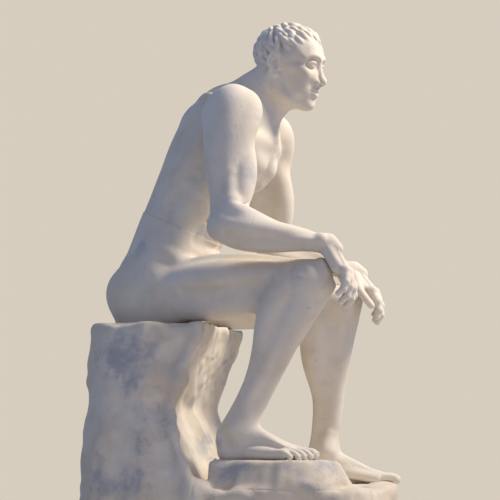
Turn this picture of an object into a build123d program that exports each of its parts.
"""Seated figure on a rock: a hollow plaster cast in sections, doweled together over a steel armature.

The figure faces +X, its left side is towards +Y and +Z is up. The origin is the centre of the
rock's underside. Lengths are in millimetres and angles in degrees.
"""

import os
from math import cos, radians, sin, sqrt

from build123d import *

# Figure: distances between joint centres
THIGH_LENGTH = 545.0
SHIN_LENGTH = 530.0
UPPER_ARM_LENGTH = 405.0
FOREARM_LENGTH = 325.0
HIP_SPAN = 230.0
SHOULDER_SPAN = 470.0
LUMBAR_LENGTH = 222.0
RIB_LENGTH = 202.0
CHEST_LENGTH = 202.0
COLLAR_LENGTH = 95.0
NECK_LENGTH = 95.0

# Figure: outer sizes
THIGH_RADIUS = 104.0
KNEE_RADIUS = 72.0
CALF_RADIUS = 66.0
UPPER_ARM_RADIUS = 68.0
ELBOW_RADIUS = 46.0
FOREARM_RADIUS = 53.0
WAIST_WIDTH = 300.0
WAIST_DEPTH = 256.0
CHEST_WIDTH = 470.0
CHEST_DEPTH = 290.0
PELVIS_WIDTH = 420.0
PELVIS_DEPTH = 320.0
NECK_WIDTH = 138.0
HEAD_HEIGHT = 285.0
HEAD_WIDTH = 188.0
HEAD_DEPTH = 238.0
EAR_THICKNESS = 20.0
HAND_LENGTH = 235.0
HAND_WIDTH = 104.0
FINGER_RADIUS = 11.5
FOOT_LENGTH = 335.0
FOOT_WIDTH = 124.0
ANKLE_HEIGHT = 92.0
TOE_RADIUS = 14.0

# Pose
SPINE_LEANS = (11.0, 24.0, 36.0, 42.0, 38.0)
THIGH_YAW = {"right": -14.0, "left": 16.0}
THIGH_RISE = {"right": 3.0, "left": -1.0}
SHIN_YAW = {"right": 175.0, "left": 184.0}
SHIN_RISE = {"right": -64.0, "left": -85.0}
FOOT_YAW = {"right": -12.0, "left": 14.0}
HAND_YAW = {"right": 4.0, "left": -10.0}
HAND_RISE = {"right": -58.0, "left": -47.0}
FINGER_CURL = 30.0
HEAD_YAW = -12.0
HEAD_RISE = -10.0
SHOULDER_FORWARD = 26.0
WRIST_FORWARD = {"right": 46.0, "left": 40.0}
WRIST_OUTWARD = {"right": 14.0, "left": 16.0}
# Way that the elbows point: back, out to the side and down, as shares of one direction
ELBOW_BACK_SHARE = 0.5
ELBOW_OUT_SHARE = 0.45
ELBOW_DOWN_SHARE = 0.75

# Rock
BASE_LENGTH = 1000.0
BASE_WIDTH = 800.0
SEAT_HEIGHT = 745.0
SEAT_DEPTH = 430.0
HIP_FROM_BACK = 250.0
ROCK_ROUNDING = 70.0
ROCK_WALL = 45.0

# Cast, armature and fits
CAST_WALL = 24.0
TORSO_WALL = 48.0
THIGH_CLEARANCE = 5.0
WRIST_CLEARANCE = 5.0
FIT_CLEARANCE = 0.3
ROD_RADIUS = 8.0
SPINE_ROD_RADIUS = 15.0
POST_RADIUS = 30.0
POST_BORE_RADIUS = 25.0
POST_REACH = 90.0
DOWEL_RADIUS = 8.0
DOWEL_LENGTH = 70.0
WRIST_DOWEL_REACH = 18.0
SHOULDER_CUT = 48.0
SHOULDER_OVERLAP = 16.0
PLATE_SIZE = 300.0
PLATE_THICKNESS = 12.0
ANCHOR_SPACING = 220.0
ANCHOR_HOLE_RADIUS = 6.75
ANCHOR_RELIEF_RADIUS = 13.5
ANCHOR_DEPTH = 30.0
CUT_OVERRUN = 500.0

# Where the sections part, as shares of the bone that is cut
HIP_CUT_SHARE = 0.24
KNEE_CUT_SHARE = 0.2
ELBOW_CUT_SHARE = 0.24

# Stations along a limb: share of its length, then half width, half depth and shift as shares of its radius
THIGH_SHARES = (
    (HIP_CUT_SHARE, 1.0, 1.0, 0.0),
    (0.42, 0.97, 0.99, 0.03),
    (0.62, 0.87, 0.93, 0.06),
    (0.82, 0.75, 0.78, 0.03),
    (1.0, 0.67, 0.66, 0.0),
)
SHIN_SHARES = (
    (KNEE_CUT_SHARE, 0.86, 0.98, 0.16),
    (0.36, 0.94, 1.06, 0.26),
    (0.55, 0.76, 0.84, 0.2),
    (0.78, 0.53, 0.6, 0.04),
    (1.0, 0.52, 0.62, 0.0),
)
ARM_SHARES = (
    (0.26, 1.0, 1.0, 0.05),
    (0.5, 0.92, 0.86, 0.0),
    (0.78, 0.77, 0.68, 0.0),
    (1.0, 0.7, 0.62, 0.0),
)
FOREARM_SHARES = (
    (ELBOW_CUT_SHARE, 0.98, 0.92, 0.0),
    (0.42, 0.94, 0.84, 0.0),
    (0.7, 0.72, 0.6, 0.0),
    (1.0, 0.62, 0.46, 0.0),
)
# Foot stations: share of the foot's length, half width as a share of its width, then the centre's
# height and the half height as shares of the ankle's height
FOOT_SHARES = (
    (0.02, 0.18, 0.34, 0.3),
    (0.1, 0.28, 0.42, 0.46),
    (0.27, 0.31, 0.52, 0.62),
    (0.48, 0.37, 0.36, 0.56),
    (0.7, 0.47, 0.16, 0.38),
    (0.84, 0.45, 0.1, 0.26),
)
# Torso stations above the waist: spine point, share of the way to the next one, half width
# as a share of the chest's width, half depth and forward shift as shares of its depth
TORSO_SHARES = (
    (1, 0.5, 0.37, 0.47, 0.01),
    (2, 0.0, 0.41, 0.5, 0.01),
    (2, 0.55, 0.46, 0.55, 0.01),
    (3, 0.0, 0.5, 0.49, -0.02),
    (3, 0.55, 0.3, 0.34, -0.04),
)
# Pelvis stations below the waist: share of the lumbar length, then half width, half depth and forward
# shift as shares of the pelvis
PELVIS_SHARES = (
    (-0.62, 0.44, 0.44, -0.08),
    (-0.2, 0.52, 0.52, -0.07),
    (0.3, 0.46, 0.48, -0.04),
    (0.7, 0.38, 0.4, -0.02),
)
# Head stations: height share from chin to crown, half width share, half depth share, forward share
HEAD_SHARES = (
    (0.0, 0.2, 0.15, 0.28),
    (0.1, 0.33, 0.28, 0.18),
    (0.26, 0.4, 0.38, 0.09),
    (0.42, 0.45, 0.46, 0.01),
    (0.6, 0.49, 0.5, -0.03),
    (0.78, 0.48, 0.47, -0.04),
    (0.92, 0.34, 0.34, -0.04),
    (0.995, 0.1, 0.1, -0.04),
)
# Nose stations: height share, half width share, half depth share and forward share of the head
NOSE_SHARES = (
    (0.345, 0.1, 0.075, 0.475),
    (0.39, 0.085, 0.085, 0.48),
    (0.55, 0.05, 0.05, 0.445),
)
# Rock outlines as (x share of the length, y share of the width), from the joint between the two blocks.
# The seat's outlines stand at its foot, at the front block's top, under the seat's lip and at the seat
SEAT_FOOT_SHARES = (
    (0.0, -0.5),
    (-0.33, -0.485),
    (-0.7, -0.5),
    (-1.0, -0.33),
    (-0.97, 0.04),
    (-0.98, 0.37),
    (-0.5, 0.5),
    (0.0, 0.47),
)
SEAT_JOINT_SHARES = (
    (0.0, -0.46),
    (-0.36, -0.485),
    (-0.74, -0.45),
    (-0.95, -0.34),
    (-1.0, 0.06),
    (-0.93, 0.38),
    (-0.52, 0.46),
    (0.0, 0.43),
)
SEAT_HOLLOW_SHARES = (
    (-0.24, -0.36),
    (-0.42, -0.45),
    (-0.7, -0.44),
    (-0.97, -0.27),
    (-0.93, 0.02),
    (-0.95, 0.31),
    (-0.55, 0.45),
    (-0.2, 0.37),
)
SEAT_TOP_SHARES = (
    (0.0, -0.37),
    (-0.3, -0.42),
    (-0.66, -0.4),
    (-0.9, -0.3),
    (-0.94, 0.03),
    (-0.87, 0.33),
    (-0.52, 0.41),
    (0.0, 0.38),
)
SEAT_HOLLOW_HEIGHT_SHARE = 0.64
FRONT_FOOT_SHARES = (
    (0.0, 0.47),
    (0.5, 0.5),
    (0.9, 0.46),
    (1.0, 0.1),
    (0.93, -0.46),
    (0.4, -0.5),
    (0.0, -0.5),
)
FRONT_MIDDLE_SHARES = (
    (0.0, 0.45),
    (0.52, 0.46),
    (0.94, 0.45),
    (0.98, 0.06),
    (0.9, -0.46),
    (0.42, -0.455),
    (0.0, -0.48),
)
FRONT_TOP_SHARES = (
    (0.0, 0.43),
    (0.5, 0.45),
    (0.9, 0.43),
    (0.96, 0.12),
    (0.87, -0.42),
    (0.4, -0.465),
    (0.0, -0.46),
)
FRONT_MIDDLE_HEIGHT_SHARE = 0.55
STEP_FOOT_SHARES = ((-0.36, 1.3), (0.5, 1.5), (1.02, 1.05), (0.9, -0.45), (0.55, -1.0), (-0.25, -1.0))
STEP_TOP_SHARES = ((-0.33, 0.95), (0.5, 1.1), (0.96, 0.75), (0.88, -0.3), (0.52, -0.75), (-0.25, -0.75))

SIDES = {"right": -1, "left": 1}
SIDEWAYS = Vector(0, 1, 0)
FORWARD = Vector(1, 0, 0)
UP = Vector(0, 0, 1)


def heading(yaw, rise):
    """Unit vector at yaw from +X towards +Y and at rise above the horizon."""
    flat = cos(radians(rise))
    return Vector(flat * cos(radians(yaw)), flat * sin(radians(yaw)), sin(radians(rise)))


def leaning(degrees):
    """Unit vector that leans forward from upright."""
    return heading(0, 90 - degrees)


def elbow_between(shoulder, wrist, hint):
    """Where the elbow lies for the two arm bones to reach, bent towards hint."""
    reach = wrist - shoulder
    along = reach.normalized()
    foot = (UPPER_ARM_LENGTH**2 - FOREARM_LENGTH**2 + reach.length**2) / (2 * reach.length)
    rise = sqrt(UPPER_ARM_LENGTH**2 - foot**2)
    bent = (hint - along * hint.dot(along)).normalized()
    return shoulder + along * foot + bent * rise


# Joint centres, from the hips outwards
HIP_HEIGHT = SEAT_HEIGHT + THIGH_RADIUS + THIGH_CLEARANCE
SPINE = [Vector(HIP_FROM_BACK - BASE_LENGTH / 2, 0, HIP_HEIGHT)]
for bone, lean in zip((LUMBAR_LENGTH, RIB_LENGTH, CHEST_LENGTH, COLLAR_LENGTH, NECK_LENGTH), SPINE_LEANS):
    SPINE.append(SPINE[-1] + leaning(lean) * bone)
HIPS, WAIST, RIBS, SHOULDER_LINE, NECK_BASE, SKULL_BASE = SPINE
JOINT_X = SEAT_DEPTH - BASE_LENGTH / 2

SHIN_AXIS = {side: heading(SHIN_YAW[side], SHIN_RISE[side]) for side in SIDES}
THIGH_AXIS = {side: heading(THIGH_YAW[side], THIGH_RISE[side]) for side in SIDES}
HIP = {side: HIPS + SIDEWAYS * (sign * HIP_SPAN / 2) for side, sign in SIDES.items()}
KNEE = {side: HIP[side] + THIGH_AXIS[side] * THIGH_LENGTH for side in SIDES}
ANKLE = {side: KNEE[side] + SHIN_AXIS[side] * SHIN_LENGTH for side in SIDES}
SOLE = {side: ANKLE[side] - UP * ANKLE_HEIGHT for side in SIDES}
SHOULDER = {
    side: SHOULDER_LINE + SIDEWAYS * (sign * SHOULDER_SPAN / 2) + FORWARD * SHOULDER_FORWARD
    for side, sign in SIDES.items()
}
WRIST_HEIGHT = KNEE_RADIUS + FOREARM_RADIUS * FOREARM_SHARES[-1][2] + WRIST_CLEARANCE
WRIST = {
    side: KNEE[side]
    + FORWARD * WRIST_FORWARD[side]
    + SIDEWAYS * (sign * WRIST_OUTWARD[side])
    + UP * WRIST_HEIGHT
    for side, sign in SIDES.items()
}
ELBOW_HINT = {
    side: Vector(-ELBOW_BACK_SHARE, ELBOW_OUT_SHARE * sign, -ELBOW_DOWN_SHARE)
    for side, sign in SIDES.items()
}
ELBOW = {side: elbow_between(SHOULDER[side], WRIST[side], ELBOW_HINT[side]) for side in SIDES}
ARM_AXIS = {side: (ELBOW[side] - SHOULDER[side]).normalized() for side in SIDES}
FOREARM_AXIS = {side: (WRIST[side] - ELBOW[side]).normalized() for side in SIDES}


def section(origin, normal, side=SIDEWAYS):
    """Plane across a limb, with its X direction along side as nearly as it can lie."""
    return Plane(origin, x_dir=side - normal * side.dot(normal), z_dir=normal)


def oval(plane, half_width, half_depth, shift=0):
    """Elliptical section of a limb or a torso, shifted along the plane's Y direction."""
    with BuildSketch(plane) as outline:
        with Locations((0, shift)):
            Ellipse(half_width, half_depth)
    return outline.sketch


def limb_ovals(start, end, radius, shares, side=SIDEWAYS, inset=0):
    """Sections of a limb between two joint centres, all drawn in by inset."""
    axis = (end - start).normalized()
    return [
        oval(
            section(start + (end - start) * along, axis, side),
            radius * wide - inset,
            radius * deep - inset,
            radius * shift,
        )
        for along, wide, deep, shift in shares
    ]


def rounded_outline(height, points, radius, inset=0):
    """Horizontal polygon drawn in by inset. All corners are rounded but the first and the last, which meet
    the next block."""
    with BuildSketch(Plane.XY.offset(height)) as outline:
        Polygon(*points, align=None)
        ends = ((*points[0], height), (*points[-1], height))
        joined = [outline.vertices().sort_by_distance(end)[0] for end in ends]
        fillet([corner for corner in outline.vertices() if corner not in joined], radius)
        if inset:
            offset(amount=-inset)
    return outline.sketch


def bar(start, end, radius, mode=Mode.ADD):
    """Round bar, or a bore, from start to end."""
    with Locations(Location(Plane(start, z_dir=end - start))):
        Cylinder(radius, (end - start).length, align=(Align.CENTER, Align.CENTER, Align.MIN), mode=mode)


def bore(ends, radius):
    """Socket around a bar, with the fit's clearance on its side and at its ends."""
    start, end = ends
    spare = (end - start).normalized() * FIT_CLEARANCE
    bar(start - spare, end + spare, radius + FIT_CLEARANCE, Mode.SUBTRACT)


def dowel_ends(centre, normal):
    """Ends of the dowel that crosses a parting face at its centre."""
    half = normal.normalized() * (DOWEL_LENGTH / 2)
    return centre - half, centre + half


def half_space(plane):
    """Large block on the far side of a parting plane, for cutting a section back to it."""
    size = CUT_OVERRUN
    with Locations(Location(plane)):
        Box(2 * size, 2 * size, size, align=(Align.CENTER, Align.CENTER, Align.MIN), mode=Mode.SUBTRACT)


def rod_ends(start, end, shares):
    """Ends of an armature rod, as shares of the bone that it lies in."""
    first, last = shares
    return start + (end - start) * first, start + (end - start) * last


# Rods stop short of the dowels at the parting faces, and end in the solid ends of the cast
THIGH_ROD_SHARES = (0.34, 0.94)
SHIN_ROD_SHARES = (0.32, 0.88)
ARM_ROD_SHARES = (0.16, 0.94)
FOREARM_ROD_SHARES = (0.4, 0.84)
RODS = {}
for side in SIDES:
    RODS[f"{side}_thigh_rod"] = rod_ends(HIP[side], KNEE[side], THIGH_ROD_SHARES)
    RODS[f"{side}_shin_rod"] = rod_ends(KNEE[side], ANKLE[side], SHIN_ROD_SHARES)
    RODS[f"{side}_upper_arm_rod"] = rod_ends(SHOULDER[side], ELBOW[side], ARM_ROD_SHARES)
    RODS[f"{side}_forearm_rod"] = rod_ends(ELBOW[side], WRIST[side], FOREARM_ROD_SHARES)
SPINE_ROD_SHARES = (0.16, 0.86)
SPINE_ROD = rod_ends(HIPS, NECK_BASE, SPINE_ROD_SHARES)
HEAD_FORWARD = heading(HEAD_YAW, HEAD_RISE)
HEAD_UP = heading(HEAD_YAW, 90 + HEAD_RISE)
HEAD_SIDE = HEAD_UP.cross(HEAD_FORWARD)
# The skull's base lies this far up the head, and this far behind its centre
SKULL_HEIGHT_SHARE = 0.3
SKULL_BACK_SHARE = 0.16
CHIN_LEVEL = (
    SKULL_BASE
    - HEAD_UP * (HEAD_HEIGHT * SKULL_HEIGHT_SHARE)
    + HEAD_FORWARD * (HEAD_DEPTH * SKULL_BACK_SHARE)
)
NECK_AXIS = (SKULL_BASE - NECK_BASE).normalized()
NECK_ROD_SHARES = (-0.5, 1.5)
NECK_ROD = rod_ends(NECK_BASE, SKULL_BASE, NECK_ROD_SHARES)
POST = (Vector(HIPS.X, 0, PLATE_THICKNESS), Vector(HIPS.X, 0, SEAT_HEIGHT + POST_REACH))

# Parting faces between the sections: a point on each and its normal, pointing away from the torso
PARTINGS = {"neck": (NECK_BASE, NECK_AXIS), "waist": (WAIST, leaning(SPINE_LEANS[1]))}
for side, sign in SIDES.items():
    shoulder_face = SHOULDER[side] - SIDEWAYS * (sign * SHOULDER_CUT)
    PARTINGS[f"{side}_shoulder"] = (shoulder_face, SIDEWAYS * sign)
    elbow_face = ELBOW[side] + FOREARM_AXIS[side] * (FOREARM_LENGTH * ELBOW_CUT_SHARE)
    PARTINGS[f"{side}_elbow"] = (elbow_face, FOREARM_AXIS[side])
    PARTINGS[f"{side}_wrist"] = (WRIST[side], FOREARM_AXIS[side])
    hip_face = HIP[side] + THIGH_AXIS[side] * (THIGH_LENGTH * HIP_CUT_SHARE)
    PARTINGS[f"{side}_hip"] = (hip_face, THIGH_AXIS[side])
    knee_face = KNEE[side] + SHIN_AXIS[side] * (SHIN_LENGTH * KNEE_CUT_SHARE)
    PARTINGS[f"{side}_knee"] = (knee_face, SHIN_AXIS[side])
    PARTINGS[f"{side}_ankle"] = (ANKLE[side], SHIN_AXIS[side])
DOWELS = {name: dowel_ends(*face) for name, face in PARTINGS.items() if name not in ("neck", "waist")}
# The hand bends down from the wrist, so the wrist's dowel reaches less far into it than into the forearm
for side in SIDES:
    dowel_start, _ = DOWELS[f"{side}_wrist"]
    DOWELS[f"{side}_wrist"] = (dowel_start, WRIST[side] + FOREARM_AXIS[side] * WRIST_DOWEL_REACH)
# Two smaller locating dowels beside the spine rod keep the torso from turning on the pelvis
WAIST_DOWEL_SHARE = 0.3
for side, sign in SIDES.items():
    beside = WAIST + SIDEWAYS * (sign * WAIST_WIDTH * WAIST_DOWEL_SHARE)
    DOWELS[f"{side}_waist"] = dowel_ends(beside, PARTINGS["waist"][1])
FOOT_DOWEL_SHARE = 0.3
for side in SIDES:
    toe_axis = heading(FOOT_YAW[side], 0)
    DOWELS[f"{side}_foot"] = dowel_ends(SOLE[side] + toe_axis * (FOOT_LENGTH * FOOT_DOWEL_SHARE), UP)
ROCK_DOWEL_SHARES = (-0.3, 0.3)
for side, share in zip(SIDES, ROCK_DOWEL_SHARES):
    DOWELS[f"{side}_rock"] = dowel_ends(
        Vector(JOINT_X, BASE_WIDTH * share, SOLE["left"].Z / 2), FORWARD
    )


KNEE_STUB_SHARE = 0.9


def cast_thigh(side):
    """Thigh with the knee and the head of the shin, from the hip's parting face to the knee's."""
    hip, knee, ankle = HIP[side], KNEE[side], ANKLE[side]
    below_knee = limb_ovals(knee, ankle, CALF_RADIUS, SHIN_SHARES[:1])
    stub = KNEE_RADIUS * KNEE_STUB_SHARE
    with BuildPart() as thigh:
        loft(limb_ovals(hip, knee, THIGH_RADIUS, THIGH_SHARES))
        with Locations(knee):
            Sphere(KNEE_RADIUS)
        loft([oval(section(knee, SHIN_AXIS[side]), stub, stub), *below_knee])
        loft(limb_ovals(hip, knee, THIGH_RADIUS, THIGH_SHARES[1:-1], inset=CAST_WALL), mode=Mode.SUBTRACT)
        bore(RODS[f"{side}_thigh_rod"], ROD_RADIUS)
        bore(DOWELS[f"{side}_hip"], DOWEL_RADIUS)
        bore(DOWELS[f"{side}_knee"], DOWEL_RADIUS)
    return thigh.part


def cast_shin(side):
    """Lower leg from below the knee to the ankle, with the calf behind."""
    knee, ankle = KNEE[side], ANKLE[side]
    with BuildPart() as shin:
        loft(limb_ovals(knee, ankle, CALF_RADIUS, SHIN_SHARES))
        loft(limb_ovals(HIP[side], knee, THIGH_RADIUS, THIGH_SHARES), mode=Mode.SUBTRACT)
        loft(limb_ovals(knee, ankle, CALF_RADIUS, SHIN_SHARES[1:-1], inset=CAST_WALL), mode=Mode.SUBTRACT)
        bore(RODS[f"{side}_shin_rod"], ROD_RADIUS)
        bore(DOWELS[f"{side}_knee"], DOWEL_RADIUS)
        bore(DOWELS[f"{side}_ankle"], DOWEL_RADIUS)
    return shin.part


HEEL_SHARE = 0.25
TOE_LINE_SHARE = 0.8
TOE_LENGTH_SHARES = (0.2, 0.18, 0.16, 0.13, 0.1)
TOE_PLACE_SHARES = (-0.34, -0.11, 0.06, 0.21, 0.34)
TOE_SIZE_SHARES = (1.35, 1.0, 0.95, 0.9, 0.85)


def cast_foot(side):
    """Foot on its sole, with five toes, the great toe on the inner side."""
    sign = SIDES[side]
    axis = heading(FOOT_YAW[side], 0)
    across = UP.cross(axis)
    heel = SOLE[side] - axis * (FOOT_LENGTH * HEEL_SHARE)
    with BuildPart() as foot:
        loft(
            [
                oval(
                    section(
                        heel + axis * (FOOT_LENGTH * along) + UP * (ANKLE_HEIGHT * height),
                        axis,
                        across,
                    ),
                    FOOT_WIDTH * wide,
                    ANKLE_HEIGHT * deep,
                )
                for along, wide, height, deep in FOOT_SHARES
            ]
        )
        ankle_oval = limb_ovals(KNEE[side], ANKLE[side], CALF_RADIUS, SHIN_SHARES[-1:])
        instep_plane = section(SOLE[side] + UP * (ANKLE_HEIGHT / 2), -UP)
        instep = oval(instep_plane, CALF_RADIUS * SHIN_SHARES[-1][1], CALF_RADIUS)
        loft([*ankle_oval, instep])
        for long, place, size in zip(TOE_LENGTH_SHARES, TOE_PLACE_SHARES, TOE_SIZE_SHARES):
            radius = TOE_RADIUS * size
            root = heel + axis * (FOOT_LENGTH * TOE_LINE_SHARE) + UP * radius
            root += across * (sign * FOOT_WIDTH * place)
            tip = root + axis * (FOOT_LENGTH * long - radius)
            bar(root, tip, radius)
            with Locations(tip):
                Sphere(radius)
        half_space(Plane(SOLE[side], z_dir=-UP))
        loft(limb_ovals(KNEE[side], ANKLE[side], CALF_RADIUS, SHIN_SHARES), mode=Mode.SUBTRACT)
        bore(DOWELS[f"{side}_ankle"], DOWEL_RADIUS)
        bore(DOWELS[f"{side}_foot"], DOWEL_RADIUS)
    return foot.part


DELTOID_WIDTH_SHARE = 1.16
DELTOID_DEPTH_SHARE = 1.08
ELBOW_STUB_SHARE = 0.92


def cast_upper_arm(side):
    """Upper arm with the shoulder's cap and the elbow, to the forearm's parting face."""
    sign = SIDES[side]
    shoulder, elbow, wrist = SHOULDER[side], ELBOW[side], WRIST[side]
    face, normal = PARTINGS[f"{side}_shoulder"]
    turning = SIDEWAYS * sign - UP
    half_width = UPPER_ARM_RADIUS * DELTOID_WIDTH_SHARE
    half_depth = UPPER_ARM_RADIUS * DELTOID_DEPTH_SHARE
    cap = [
        oval(section(face - normal * SHOULDER_OVERLAP, normal, FORWARD), half_width, half_depth),
        oval(section(shoulder, turning.normalized(), FORWARD), half_width, half_depth),
    ]
    stub = ELBOW_RADIUS * ELBOW_STUB_SHARE
    with BuildPart() as arm:
        loft(cap + limb_ovals(shoulder, elbow, UPPER_ARM_RADIUS, ARM_SHARES, FORWARD))
        with Locations(elbow):
            Sphere(ELBOW_RADIUS)
        loft(
            [
                oval(section(elbow, FOREARM_AXIS[side]), stub, stub),
                *limb_ovals(elbow, wrist, FOREARM_RADIUS, FOREARM_SHARES[:1]),
            ]
        )
        loft(
            limb_ovals(shoulder, elbow, UPPER_ARM_RADIUS, ARM_SHARES[:-1], FORWARD, inset=CAST_WALL),
            mode=Mode.SUBTRACT,
        )
        half_space(section(face, -normal, FORWARD))
        bore(RODS[f"{side}_upper_arm_rod"], ROD_RADIUS)
        bore(DOWELS[f"{side}_shoulder"], DOWEL_RADIUS)
        bore(DOWELS[f"{side}_elbow"], DOWEL_RADIUS)
    return arm.part


def cast_forearm(side):
    """Forearm from below the elbow to the wrist."""
    elbow, wrist = ELBOW[side], WRIST[side]
    with BuildPart() as forearm:
        loft(limb_ovals(elbow, wrist, FOREARM_RADIUS, FOREARM_SHARES))
        bore(RODS[f"{side}_forearm_rod"], ROD_RADIUS)
        bore(DOWELS[f"{side}_elbow"], DOWEL_RADIUS)
        bore(DOWELS[f"{side}_wrist"], DOWEL_RADIUS)
    return forearm.part


PALM_SHARES = ((0.18, 0.42, 0.2), (0.36, 0.49, 0.17), (0.5, 0.46, 0.13))
FINGER_PLACE_SHARES = (-0.36, -0.12, 0.12, 0.36)
FINGER_LENGTH_SHARES = (0.44, 0.5, 0.47, 0.37)
THUMB_ROOT_SHARE = 0.2
THUMB_PLACE_SHARE = 0.2
THUMB_LENGTH_SHARE = 0.36
THUMB_SPREAD_SHARE = 0.75
KNUCKLE_SHARE = 0.46
FINGERTIP_SHARE = 0.9
FINGER_END_SHARE = 0.5


def round_digit(places, directions):
    """Finger or thumb through its joints, drawn in to a rounded end past the last one."""
    tip_radius = FINGER_RADIUS * FINGERTIP_SHARE
    radii = [FINGER_RADIUS] * (len(places) - 1) + [tip_radius]
    circles = [
        oval(section(place, direction), radius, radius)
        for place, direction, radius in zip(places, directions, radii)
    ]
    end_radius = tip_radius * FINGER_END_SHARE
    end_plane = section(places[-1] + directions[-1] * tip_radius, directions[-1])
    loft([*circles, oval(end_plane, end_radius, end_radius)])


def cast_hand(side):
    """Relaxed hand hanging from the wrist, its palm towards the knee and its thumb inwards."""
    sign = SIDES[side]
    wrist = WRIST[side]
    axis = heading(HAND_YAW[side], HAND_RISE[side])
    across = UP.cross(axis).normalized()
    palm_side = across.cross(axis)
    curled = axis * cos(radians(FINGER_CURL)) + palm_side * sin(radians(FINGER_CURL))
    wrist_oval = limb_ovals(ELBOW[side], wrist, FOREARM_RADIUS, FOREARM_SHARES[-1:])
    palm_ovals = []
    for along, wide, deep in PALM_SHARES:
        plane = section(wrist + axis * (HAND_LENGTH * along), axis, across)
        palm_ovals.append(oval(plane, HAND_WIDTH * wide, HAND_WIDTH * deep))
    with BuildPart() as hand:
        loft([*wrist_oval, *palm_ovals])
        for place, long in zip(FINGER_PLACE_SHARES, FINGER_LENGTH_SHARES):
            root = wrist + axis * (HAND_LENGTH * KNUCKLE_SHARE) - across * (sign * HAND_WIDTH * place)
            knuckle = root + axis * (HAND_LENGTH * long / 2)
            tip = knuckle + curled * (HAND_LENGTH * long / 2)
            round_digit((root, knuckle, tip), (axis, (axis + curled).normalized(), curled))
        inward = across * -sign
        thumb_root = wrist + axis * (HAND_LENGTH * THUMB_ROOT_SHARE)
        thumb_root += inward * (HAND_WIDTH * THUMB_PLACE_SHARE)
        thumb_axis = (axis + inward * THUMB_SPREAD_SHARE).normalized()
        thumb_tip = thumb_root + thumb_axis * (HAND_LENGTH * THUMB_LENGTH_SHARE)
        round_digit((thumb_root, thumb_tip), (thumb_axis, thumb_axis))
        bore(DOWELS[f"{side}_wrist"], DOWEL_RADIUS)
    return hand.part


BUTTOCK_BACK_SHARE = 0.15
BUTTOCK_SPAN_SHARE = 0.5
BUTTOCK_RADIUS_SHARE = 0.38


def cast_pelvis():
    """Pelvis and buttocks, flat where they sit on the rock and where the thighs and torso join."""
    axis = leaning(SPINE_LEANS[0])
    with BuildPart() as pelvis:
        loft(
            [
                oval(
                    section(HIPS + axis * (LUMBAR_LENGTH * along), axis),
                    PELVIS_WIDTH * wide,
                    PELVIS_DEPTH * deep,
                    -PELVIS_DEPTH * shift,
                )
                for along, wide, deep, shift in PELVIS_SHARES
            ]
            + [waist_oval()]
        )
        for side, sign in SIDES.items():
            seat = HIP[side] - FORWARD * (PELVIS_DEPTH * BUTTOCK_BACK_SHARE)
            with Locations(seat + SIDEWAYS * (sign * (PELVIS_WIDTH * BUTTOCK_SPAN_SHARE - HIP_SPAN) / 2)):
                Sphere(PELVIS_DEPTH * BUTTOCK_RADIUS_SHARE)
            loft(
                [
                    oval(section(HIP[side], THIGH_AXIS[side]), THIGH_RADIUS, THIGH_RADIUS),
                    *limb_ovals(HIP[side], KNEE[side], THIGH_RADIUS, THIGH_SHARES[:1]),
                ]
            )
        half_space(Plane((0, 0, SEAT_HEIGHT), z_dir=-UP))
        for side, sign in SIDES.items():
            face, normal = PARTINGS[f"{side}_hip"]
            plane = section(face, normal)
            middle = plane.to_local_coords(Vector(face.X, 0, face.Z)).X
            with Locations(Location(plane)):
                with Locations((middle, 0)):
                    Box(
                        CUT_OVERRUN,
                        2 * CUT_OVERRUN,
                        CUT_OVERRUN,
                        align=(Align.MIN if sign > 0 else Align.MAX, Align.CENTER, Align.MIN),
                        mode=Mode.SUBTRACT,
                    )
            bore(DOWELS[f"{side}_hip"], DOWEL_RADIUS)
            bore(DOWELS[f"{side}_waist"], DOWEL_RADIUS)
        bore(POST, POST_RADIUS)
        bore(SPINE_ROD, SPINE_ROD_RADIUS)
    return pelvis.part


def waist_oval():
    """Section at the waist's parting face, which the pelvis and the torso share."""
    return oval(section(*PARTINGS["waist"]), WAIST_WIDTH / 2, WAIST_DEPTH / 2)


def torso_ovals(stations, inset=0):
    """Sections of the torso along the spine."""
    ovals = []
    for point, share, wide, deep, shift in stations:
        axis = leaning(SPINE_LEANS[point] + (SPINE_LEANS[point + 1] - SPINE_LEANS[point]) * share)
        centre = SPINE[point] + (SPINE[point + 1] - SPINE[point]) * share
        half_width = CHEST_WIDTH * wide - inset
        half_depth = CHEST_DEPTH * deep - inset
        ovals.append(oval(section(centre, axis), half_width, half_depth, -CHEST_DEPTH * shift))
    return ovals


def cast_torso():
    """Abdomen, ribs, chest and shoulders, from the waist's parting face to the neck's."""
    with BuildPart() as torso:
        collar = oval(section(*PARTINGS["neck"]), NECK_WIDTH / 2, NECK_WIDTH / 2)
        loft([waist_oval(), *torso_ovals(TORSO_SHARES), collar])
        loft(torso_ovals(TORSO_SHARES[:3], inset=TORSO_WALL), mode=Mode.SUBTRACT)
        for side, sign in SIDES.items():
            face, normal = PARTINGS[f"{side}_shoulder"]
            half_space(section(face, normal, FORWARD))
            bore(DOWELS[f"{side}_shoulder"], DOWEL_RADIUS)
            bore(DOWELS[f"{side}_waist"], DOWEL_RADIUS)
        bore(SPINE_ROD, SPINE_ROD_RADIUS)
        bore(NECK_ROD, ROD_RADIUS)
    return torso.part


EAR_HEIGHT_SHARE = 0.44
EAR_WIDTH_SHARE = 0.46
EAR_BACK_SHARE = 0.06
EAR_LENGTH_SHARE = 0.12
EAR_DEPTH_SHARE = 0.07


def head_point(height_share, forward_share, side_share=0):
    """Point in the head, from the chin's level on its axis."""
    return (
        CHIN_LEVEL
        + HEAD_UP * (HEAD_HEIGHT * height_share)
        + HEAD_FORWARD * (HEAD_DEPTH * forward_share)
        + HEAD_SIDE * (HEAD_WIDTH * side_share)
    )


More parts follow.
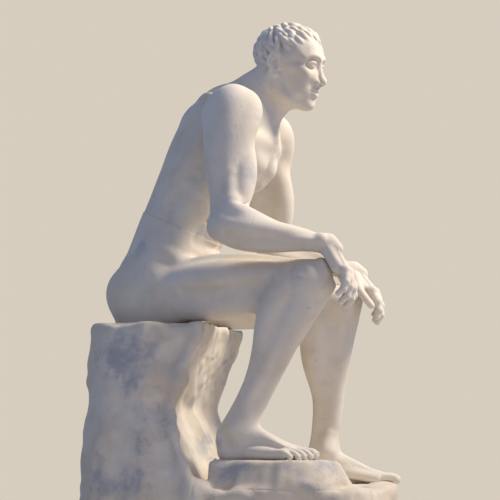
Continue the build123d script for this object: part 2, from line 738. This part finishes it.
def head_ovals(stations):
    """Level sections of the head, or of a form on it."""
    return [
        oval(section(head_point(height, ahead), HEAD_UP, HEAD_SIDE), HEAD_WIDTH * wide, HEAD_DEPTH * deep)
        for height, wide, deep, ahead in stations
    ]


def cast_head():
    """Head and neck, with a plain nose and ears."""
    with BuildPart() as head:
        loft(head_ovals(HEAD_SHARES))
        loft(head_ovals(NOSE_SHARES))
        neck_plane = section(*PARTINGS["neck"])
        neck_half = NECK_WIDTH / 2
        top_plane = section(SKULL_BASE, (NECK_AXIS + HEAD_UP).normalized())
        skull_plane = section(head_point(EAR_HEIGHT_SHARE, -EAR_BACK_SHARE), HEAD_UP)
        loft([oval(plane, neck_half, neck_half) for plane in (neck_plane, top_plane, skull_plane)])
        for sign in SIDES.values():
            root = head_point(EAR_HEIGHT_SHARE, -EAR_BACK_SHARE, sign * EAR_WIDTH_SHARE)
            ear_plane = Plane(root, x_dir=HEAD_FORWARD, z_dir=HEAD_SIDE)
            ear = oval(ear_plane, HEAD_DEPTH * EAR_DEPTH_SHARE, HEAD_HEIGHT * EAR_LENGTH_SHARE)
            extrude(ear, amount=EAR_THICKNESS / 2, both=True)
        half_space(section(NECK_BASE, -NECK_AXIS))
        bore(NECK_ROD, ROD_RADIUS)
    return head.part


def rock_block(levels, place, wall):
    """Rock section through rough outlines at rising heights, hollow inside its wall."""
    heights = [height for height, _ in levels]
    outlines = [[place(share) for share in shares] for _, shares in levels]
    rounding = min(ROCK_ROUNDING, heights[-1] - heights[0])
    loft([rounded_outline(h, points, rounding) for h, points in zip(heights, outlines)], ruled=True)
    if wall:
        heights[0] += wall
        heights[-1] -= wall
        loft(
            [rounded_outline(h, points, rounding, wall) for h, points in zip(heights, outlines)],
            ruled=True,
            mode=Mode.SUBTRACT,
        )


def seat_place(share):
    """Point of the seat block's outline."""
    return JOINT_X + SEAT_DEPTH * share[0], BASE_WIDTH * share[1]


def front_place(share):
    """Point of the front block's outline."""
    return JOINT_X + (BASE_LENGTH - SEAT_DEPTH) * share[0], BASE_WIDTH * share[1]


def step_place(share):
    """Point of the outline of the step under the right foot."""
    point = SOLE["right"] + heading(FOOT_YAW["right"], 0) * (FOOT_LENGTH * share[0])
    point += heading(FOOT_YAW["right"] + 90, 0) * (FOOT_WIDTH * share[1])
    return point.X, point.Y


def anchor_places():
    """Corners of the anchor bolts' rectangle in the base plate."""
    corners = GridLocations(ANCHOR_SPACING, ANCHOR_SPACING, 2, 2)
    return [corner.position + Vector(HIPS.X, 0, 0) for corner in corners]


def cast_rock_seat():
    """Block that the figure sits on, with a recess below for the base plate and a bore for the post."""
    levels = (
        (0, SEAT_FOOT_SHARES),
        (SOLE["left"].Z, SEAT_JOINT_SHARES),
        (SEAT_HEIGHT * SEAT_HOLLOW_HEIGHT_SHARE, SEAT_HOLLOW_SHARES),
        (SEAT_HEIGHT, SEAT_TOP_SHARES),
    )
    with BuildPart() as seat:
        rock_block(levels, seat_place, ROCK_WALL)
        with Locations(Vector(HIPS.X, 0, 0)):
            Box(
                PLATE_SIZE + 2 * FIT_CLEARANCE,
                PLATE_SIZE + 2 * FIT_CLEARANCE,
                PLATE_THICKNESS + FIT_CLEARANCE,
                align=(Align.CENTER, Align.CENTER, Align.MIN),
                mode=Mode.SUBTRACT,
            )
        for place in anchor_places():
            bar(place, place + UP * ANCHOR_DEPTH, ANCHOR_RELIEF_RADIUS, Mode.SUBTRACT)
        bore(POST, POST_RADIUS)
        for side in SIDES:
            bore(DOWELS[f"{side}_rock"], DOWEL_RADIUS)
    return seat.part


def cast_rock_front():
    """Low block in front of the seat, which the left foot stands on."""
    height = SOLE["left"].Z
    levels = (
        (0, FRONT_FOOT_SHARES),
        (height * FRONT_MIDDLE_HEIGHT_SHARE, FRONT_MIDDLE_SHARES),
        (height, FRONT_TOP_SHARES),
    )
    with BuildPart() as front:
        rock_block(levels, front_place, ROCK_WALL)
        for side in SIDES:
            bore(DOWELS[f"{side}_rock"], DOWEL_RADIUS)
        bore(DOWELS["left_foot"], DOWEL_RADIUS)
    return front.part


def cast_rock_step():
    """Step on the front block, which the right foot stands on."""
    with BuildPart() as step:
        levels = ((SOLE["left"].Z, STEP_FOOT_SHARES), (SOLE["right"].Z, STEP_TOP_SHARES))
        rock_block(levels, step_place, 0)
        bore(DOWELS["right_foot"], DOWEL_RADIUS)
    return step.part


def steel_base_plate():
    """Plate let into the rock's underside, with holes for anchor bolts."""
    with BuildPart() as plate:
        with Locations(Vector(HIPS.X, 0, 0)):
            Box(PLATE_SIZE, PLATE_SIZE, PLATE_THICKNESS, align=(Align.CENTER, Align.CENTER, Align.MIN))
        for place in anchor_places():
            bar(place, place + UP * PLATE_THICKNESS, ANCHOR_HOLE_RADIUS, Mode.SUBTRACT)
    return plate.part


def steel_post():
    """Tube that stands on the base plate and carries the pelvis."""
    with BuildPart() as post:
        bar(*POST, POST_RADIUS)
        bar(*POST, POST_BORE_RADIUS, Mode.SUBTRACT)
    return post.part


def steel_bars(ends, radius):
    """One node of round bars: a rod, or a pair of dowels."""
    with BuildPart() as bars:
        for start, end in ends:
            bar(start, end, radius)
    return bars.part


pieces = {
    "head": cast_head(),
    "torso": cast_torso(),
    "pelvis": cast_pelvis(),
    "rock_seat": cast_rock_seat(),
    "rock_front": cast_rock_front(),
    "rock_step": cast_rock_step(),
    "base_plate": steel_base_plate(),
    "main_post": steel_post(),
    "spine_rod": steel_bars([SPINE_ROD], SPINE_ROD_RADIUS),
    "neck_rod": steel_bars([NECK_ROD], ROD_RADIUS),
}
for side in SIDES:
    pieces[f"{side}_upper_arm"] = cast_upper_arm(side)
    pieces[f"{side}_forearm"] = cast_forearm(side)
    pieces[f"{side}_hand"] = cast_hand(side)
    pieces[f"{side}_thigh"] = cast_thigh(side)
    pieces[f"{side}_shin"] = cast_shin(side)
    pieces[f"{side}_foot"] = cast_foot(side)
for name, ends in RODS.items():
    pieces[name] = steel_bars([ends], ROD_RADIUS)
for joint in ("shoulder", "elbow", "wrist", "hip", "knee", "ankle", "waist", "foot", "rock"):
    pieces[f"{joint}_dowels"] = steel_bars([DOWELS[f"{side}_{joint}"] for side in SIDES], DOWEL_RADIUS)

os.makedirs("parts", exist_ok=True)
for name, piece in pieces.items():
    piece.label = name
    export_step(piece, f"parts/{name}.step")
print(f"{len(pieces)} nodes; soles at {SOLE['right'].Z:.0f} and {SOLE['left'].Z:.0f}")
